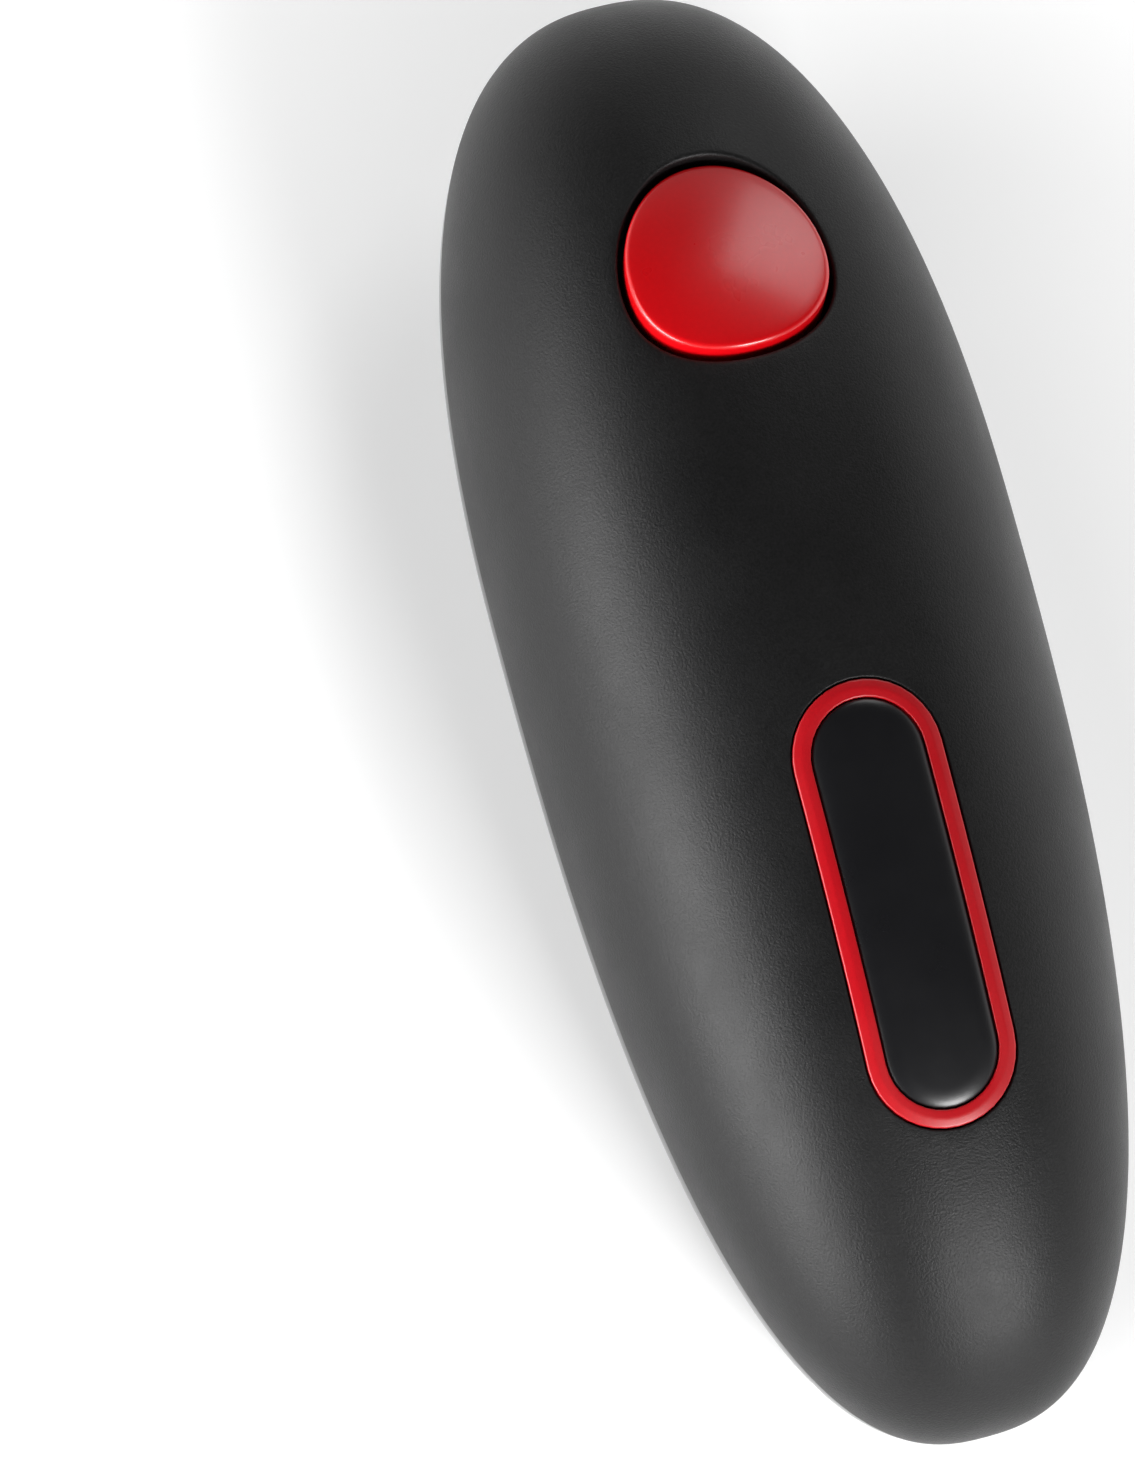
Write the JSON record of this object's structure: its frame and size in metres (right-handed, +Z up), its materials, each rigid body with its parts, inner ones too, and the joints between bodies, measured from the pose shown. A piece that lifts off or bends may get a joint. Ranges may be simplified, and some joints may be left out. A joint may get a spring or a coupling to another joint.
{
  "type": "electric can opener",
  "caption": "Handheld battery can opener: rounded black case with a red start button and badge ring, chrome cutter drum, blade and serrated drive wheel beneath, geared motor inside.",
  "frame": {"origin": "centre of the bounding box in plan, at its base: the table the opener lies on", "axes": "+X from the tail to the head, +Y to the opener's left, +Z up from the table. The opener leans nose up, because it rests on its cutter drum and its tail."},
  "size_m": [0.195, 0.07, 0.062],
  "materials": {
    "soft_black": "soft-touch black ABS, finely grained",
    "gloss_black": "moulded gloss black ABS",
    "red": "gloss red ABS",
    "chrome": "polished chrome plate",
    "steel": "stamped or turned steel, bright",
    "dark_steel": "hardened or sintered dark steel",
    "brass": "turned brass",
    "acetal": "natural white acetal",
    "dark_moulding": "dark grey moulded plastic",
    "board": "green circuit board laminate",
    "cell": "printed wrap over a steel can, plain blue",
    "red_lead": "red flexible insulation",
    "black_lead": "black flexible insulation"
  },
  "bodies": {
    "case": {"top_shell": "soft_black", "lower_shell": "gloss_black", "badge_ring": "red", "badge_plate": "gloss_black", "button_spring": "steel", "switch_board": "board", "switch_body": "dark_moulding", "wear_plate": "steel", "wear_plate_screw_1": "steel", "wear_plate_screw_2": "steel", "lid_magnet": "dark_steel", "drive_bushing": "brass", "third_axle": "steel", "second_axle": "steel", "first_axle": "steel", "gear_plate": "steel", "gear_plate_screw_1": "steel", "gear_plate_screw_2": "steel", "gear_plate_screw_3": "steel", "gear_plate_screw_4": "steel", "motor_can": "steel", "motor_end_cap": "dark_moulding", "battery_tray": "dark_moulding", "battery_1": "cell", "battery_2": "cell", "battery_3": "cell", "battery_4": "cell", "contact_positive": "steel", "contact_rear_lower": "steel", "contact_front_link": "steel", "contact_rear_upper": "steel", "contact_negative": "steel", "battery_lead_red": "red_lead", "battery_lead_black": "black_lead", "motor_lead_red": "red_lead", "motor_lead_black": "black_lead", "case_screw_1": "steel", "case_screw_2": "steel", "case_screw_3": "steel", "case_screw_4": "steel", "case_screw_5": "steel"},
    "button": {"start_button": "red"},
    "plunger": {"switch_plunger": "acetal"},
    "cover": {"battery_cover": "gloss_black"},
    "rotor": {"motor_shaft": "steel", "motor_pinion": "brass"},
    "first": {"first_gear": "acetal"},
    "second": {"second_gear": "acetal"},
    "third": {"third_gear": "acetal"},
    "drive": {"drive_gear": "acetal", "drive_shaft": "steel", "drive_wheel": "dark_steel"},
    "nip": {"nip_gear": "acetal", "clutch_spring": "steel"},
    "drum": {"cutter_drum": "chrome", "blade_washer": "steel", "drum_hub": "dark_moulding", "drum_shaft": "steel", "drum_gear": "acetal"},
    "blade": {"cutting_wheel": "steel"}
  },
  "joints": [
    {"name": "button_press", "type": "slide", "parent": "case", "child": "button", "axis": [-0.2187, 0, -0.9758], "range_m": [0, 0.0016], "stiffness_N_per_m": 1200, "springref_m": -0.001, "deforming": ["button_spring"]},
    {"name": "plunger_press", "type": "slide", "parent": "case", "child": "plunger", "axis": [-0.2187, 0, -0.9758], "range_m": [0, 0.0016]},
    {"name": "cover_slide", "type": "slide", "parent": "case", "child": "cover", "axis": [-0.9951, 0, -0.0994], "range_m": [0, 0.075]},
    {"name": "drive_spin", "type": "hinge", "parent": "case", "child": "drive", "pos_m": [0.04338, 0, 0.01242], "axis": [-0.0994, 0, 0.9951], "continuous": true},
    {"name": "third_gear_spin", "type": "hinge", "parent": "case", "child": "third", "pos_m": [0.05142, 0.01507, 0.01322], "axis": [-0.0994, 0, 0.9951], "continuous": true},
    {"name": "second_gear_spin", "type": "hinge", "parent": "case", "child": "second", "pos_m": [0.03858, 0.01394, 0.01194], "axis": [-0.0994, 0, 0.9951], "continuous": true},
    {"name": "first_gear_spin", "type": "hinge", "parent": "case", "child": "first", "pos_m": [0.02708, 0.00974, 0.01079], "axis": [-0.0994, 0, 0.9951], "continuous": true},
    {"name": "motor_spin", "type": "hinge", "parent": "case", "child": "rotor", "pos_m": [0.01917, 0.00178, 0.01], "axis": [-0.0994, 0, 0.9951], "continuous": true},
    {"name": "drum_turn", "type": "hinge", "parent": "case", "child": "drum", "pos_m": [0.06488, 0, 0.01457], "axis": [-0.0994, 0, 0.9951], "range_deg": [0, 90]},
    {"name": "nip_gear_spin", "type": "hinge", "parent": "case", "child": "nip", "pos_m": [0.05142, 0.01507, 0.01322], "axis": [-0.0994, 0, 0.9951], "range_deg": [-180, 0]},
    {"name": "blade_spin", "type": "hinge", "parent": "drum", "child": "blade", "pos_m": [0.06488, 0.0026, 0.01457], "axis": [-0.0994, 0, 0.9951], "continuous": true}
  ],
  "couplings": [
    {"joint": "plunger_press", "follows": "button_press", "ratio": 1},
    {"joint": "third_gear_spin", "follows": "drive_spin", "ratio": -2.8},
    {"joint": "second_gear_spin", "follows": "drive_spin", "ratio": 8.7111},
    {"joint": "first_gear_spin", "follows": "drive_spin", "ratio": -30.973},
    {"joint": "motor_spin", "follows": "drive_spin", "ratio": 123.89},
    {"joint": "nip_gear_spin", "follows": "drum_turn", "ratio": -2}
  ]
}
